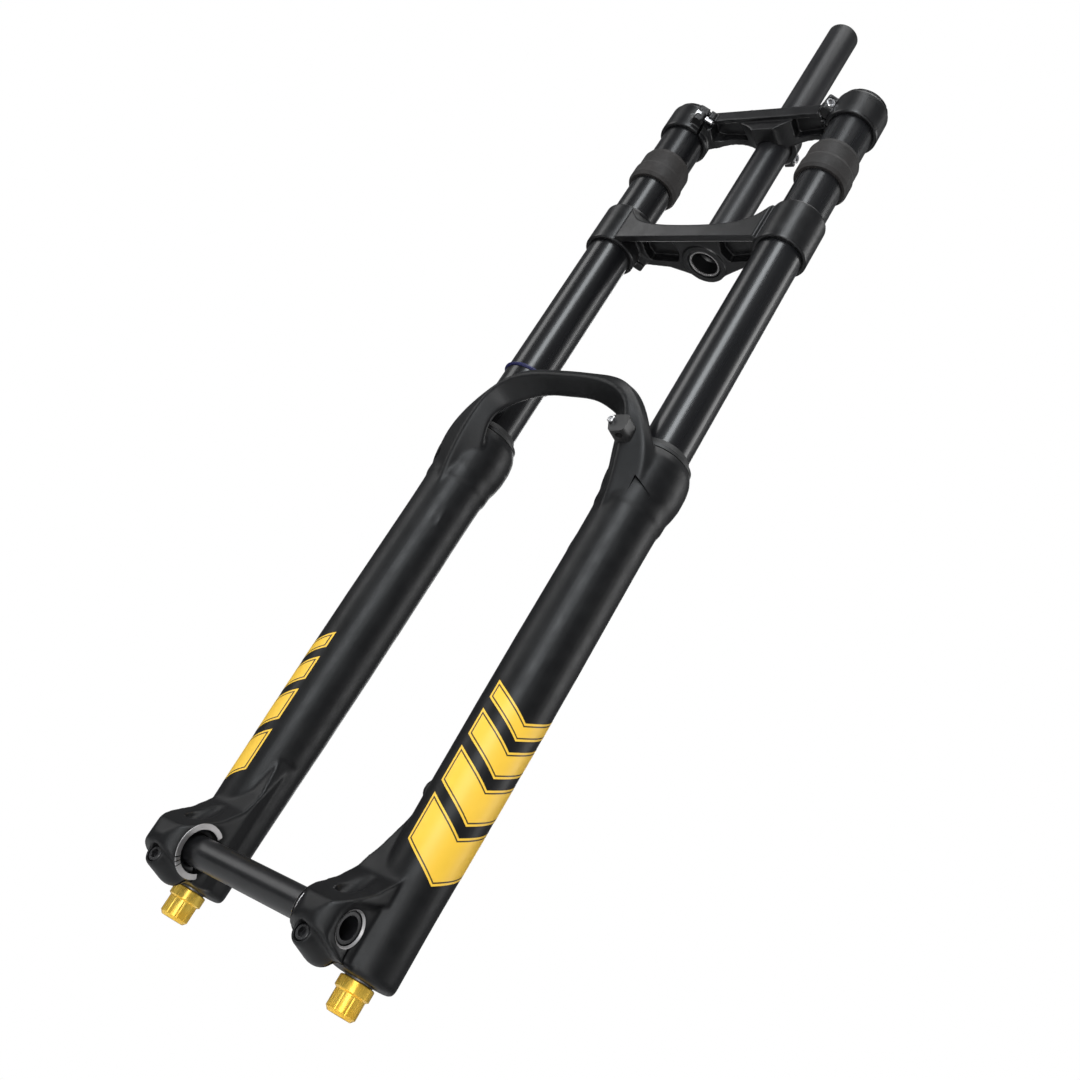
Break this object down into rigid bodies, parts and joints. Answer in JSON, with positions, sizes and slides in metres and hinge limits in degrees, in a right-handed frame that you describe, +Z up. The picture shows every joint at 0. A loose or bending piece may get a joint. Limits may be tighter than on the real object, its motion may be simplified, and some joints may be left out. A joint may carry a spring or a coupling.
{
  "type": "bicycle suspension fork",
  "caption": "Dual-crown telescopic bicycle suspension fork with through axle, arch, brake posts and inner damper and air spring.",
  "frame": {"origin": "on the steerer axis at the crown-race seat, on top of the lower crown's boss", "axes": "+Z up along the steerer, +X to the rider's left along the wheel axle, -Y forward"},
  "size_m": [0.2214, 0.1021, 0.9453],
  "materials": {
    "black_steerer": "satin black anodised",
    "black_crown": "satin black anodised",
    "silver_bolt": "plain steel",
    "gloss_black_stanchion": "gloss black anodised",
    "bumper_rubber": "matt moulded rubber",
    "bare_aluminium": "machined",
    "black_plastic": "matt moulded",
    "brass_valve": "turned",
    "black_casting": "satin black painted casting, a yellow graphic on each leg's outer side",
    "black_bolt": "black oxide",
    "polished_steel": "polished",
    "seal_rubber": "moulded rubber",
    "black_axle": "gloss black anodised",
    "gold_anodised": "gold anodised",
    "blue_rubber": "moulded rubber",
    "bushing": "coated sliding bushing",
    "foam": "oiled foam"
  },
  "bodies": {
    "crowns": {"steerer_tube": "black_steerer", "lower_crown": "black_crown", "lower_crown_bolts": "silver_bolt", "upper_crown": "black_crown", "upper_crown_bolts": "silver_bolt", "steerer_clamp_bolt": "silver_bolt", "stanchion_air_side": "gloss_black_stanchion", "stanchion_damper_side": "gloss_black_stanchion", "frame_bumper_left": "bumper_rubber", "frame_bumper_right": "bumper_rubber", "damper_cartridge": "bare_aluminium", "damper_seal_head": "bare_aluminium", "compression_base_valve": "bare_aluminium", "compensator_piston": "black_plastic", "damper_top_cap": "black_crown", "air_seal_head": "bare_aluminium", "ramp_up_piston": "black_plastic", "air_top_cap": "black_crown", "air_valve": "brass_valve"},
    "lowers": {"lower_legs": "black_casting", "lower_bushing_left": "bushing", "upper_bushing_left": "bushing", "oil_seal_left": "seal_rubber", "foam_ring_left": "foam", "dust_wiper_left": "seal_rubber", "lower_bushing_right": "bushing", "upper_bushing_right": "bushing", "oil_seal_right": "seal_rubber", "foam_ring_right": "foam", "dust_wiper_right": "seal_rubber", "air_crush_washer": "bare_aluminium", "air_foot_nut": "bare_aluminium", "damper_crush_washer": "bare_aluminium", "damper_foot_nut": "bare_aluminium", "axle_pinch_bolts": "black_bolt", "hose_guide": "black_plastic", "hose_guide_bolt": "silver_bolt", "damper_rod": "polished_steel", "damper_piston": "bare_aluminium", "damper_piston_band": "black_plastic", "damper_rod_nut": "polished_steel", "air_shaft": "polished_steel", "top_out_bumper": "bumper_rubber", "air_piston": "black_plastic", "air_piston_seal": "seal_rubber", "bottom_out_bumper": "bumper_rubber", "ramp_air_valve": "brass_valve"},
    "axle": {"through_axle": "black_axle"},
    "rebound_dial": {"rebound_knob": "gold_anodised", "rebound_adjuster_rod": "bare_aluminium"},
    "ramp_cap": {"ramp_air_cap": "gold_anodised"},
    "high_speed_dial": {"high_speed_knob": "gold_anodised"},
    "low_speed_dial": {"low_speed_knob": "black_bolt"},
    "valve_lid": {"valve_cap": "gold_anodised"},
    "marker": {"travel_marker_ring": "blue_rubber"}
  },
  "joints": [
    {"name": "fork_travel", "type": "slide", "parent": "crowns", "child": "lowers", "axis": [0, 0, 1], "range_m": [0, 0.2], "stiffness_N_per_m": 8000, "springref_m": -0.02},
    {"name": "axle_pull_out", "type": "slide", "parent": "lowers", "child": "axle", "axis": [1, 0, 0], "range_m": [0, 0.18]},
    {"name": "rebound_turn", "type": "hinge", "parent": "lowers", "child": "rebound_dial", "pos_m": [-0.08175, -0.02, -0.655], "axis": [0, 0, 1], "range_deg": [-360, 360]},
    {"name": "ramp_cap_off", "type": "slide", "parent": "lowers", "child": "ramp_cap", "axis": [0, 0, -1], "range_m": [0, 0.03]},
    {"name": "high_speed_turn", "type": "hinge", "parent": "crowns", "child": "high_speed_dial", "pos_m": [-0.08175, -0.02, 0.143], "axis": [0, 0, 1], "range_deg": [-180, 180]},
    {"name": "low_speed_turn", "type": "hinge", "parent": "crowns", "child": "low_speed_dial", "pos_m": [-0.08175, -0.02, 0.15], "axis": [0, 0, 1], "range_deg": [-360, 360]},
    {"name": "valve_cap_off", "type": "slide", "parent": "crowns", "child": "valve_lid", "axis": [0, 0, 1], "range_m": [0, 0.02]},
    {"name": "marker_slide", "type": "slide", "parent": "crowns", "child": "marker", "axis": [0, 0, 1], "range_m": [0, 0.144]}
  ],
  "couplings": [
    {"joint": "marker_slide", "follows": "fork_travel", "ratio": 0.7165}
  ]
}
